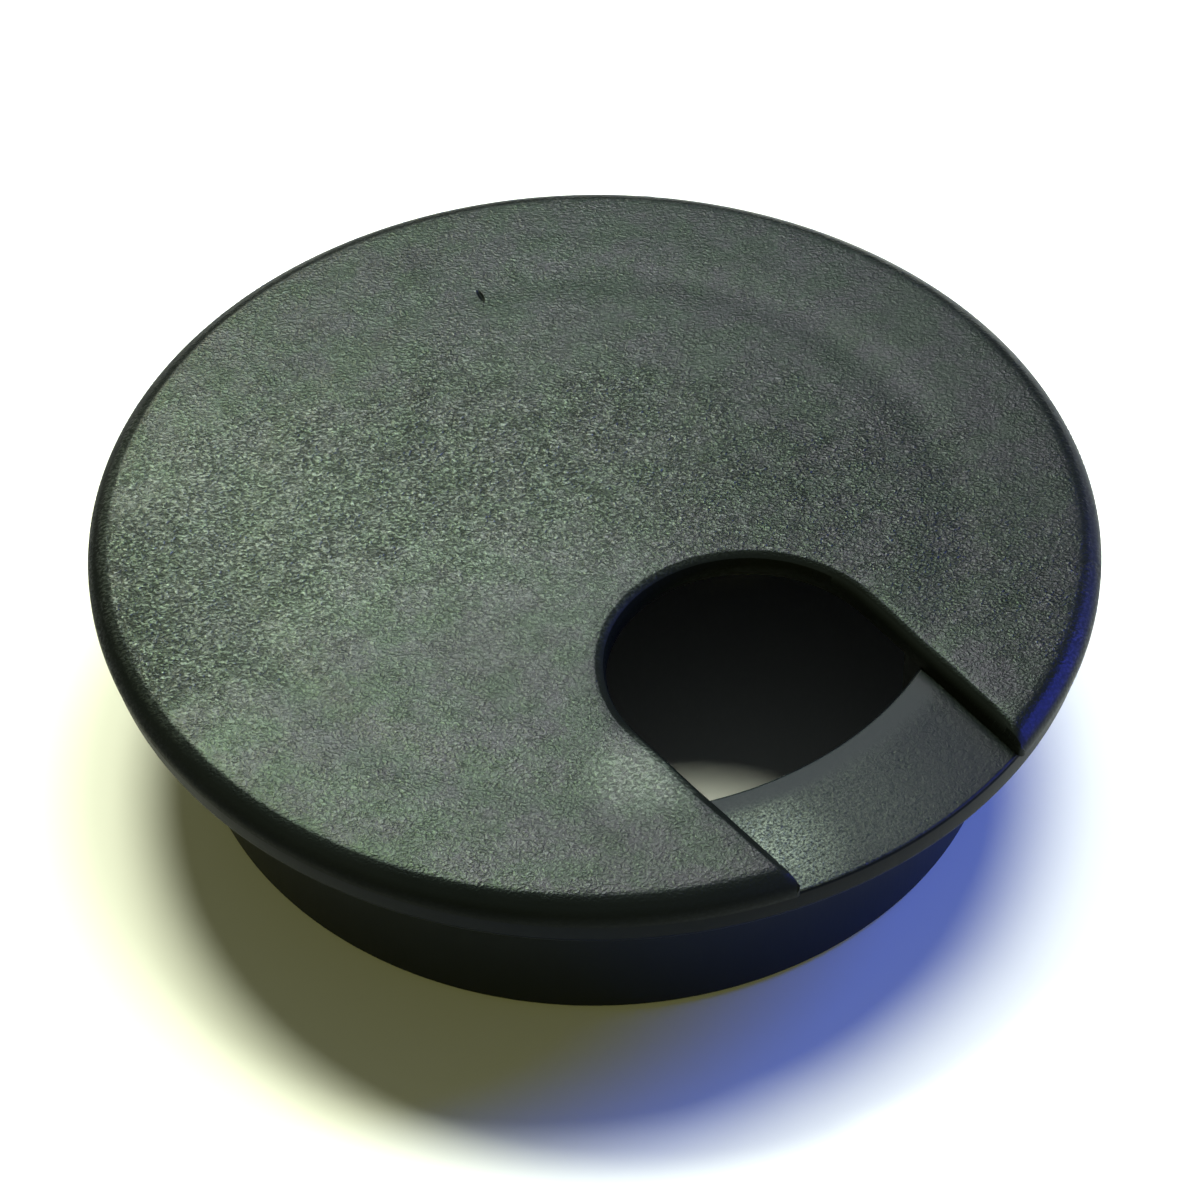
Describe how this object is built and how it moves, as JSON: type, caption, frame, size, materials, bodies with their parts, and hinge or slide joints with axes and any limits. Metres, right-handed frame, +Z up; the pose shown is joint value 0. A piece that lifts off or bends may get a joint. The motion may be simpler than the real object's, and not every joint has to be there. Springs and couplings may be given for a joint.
{
  "type": "desk grommet",
  "caption": "Round two-piece desk cable grommet: a flanged liner for a round hole and a full-width snap-in cap with a U-shaped cable slot that turns in it.",
  "frame": {"origin": "centre of the liner's lower rim, on the axis of the desk hole", "axes": "+Z up along the hole's axis, out of the worktop; at rest the cable slot opens towards -Y"},
  "size_m": [0.0762, 0.0758, 0.0199],
  "materials": {
    "liner_plastic": "black moulded plastic, smooth sleeve, finely textured flange",
    "cap_plastic": "black moulded plastic with a fine leather-like texture"
  },
  "bodies": {
    "liner": {"liner": "liner_plastic"},
    "cap": {"cap": "cap_plastic"}
  },
  "joints": [
    {"name": "cap_turn", "type": "hinge", "parent": "liner", "child": "cap", "pos_m": [0, 0, 0.017], "axis": [0, 0, 1], "continuous": true}
  ]
}
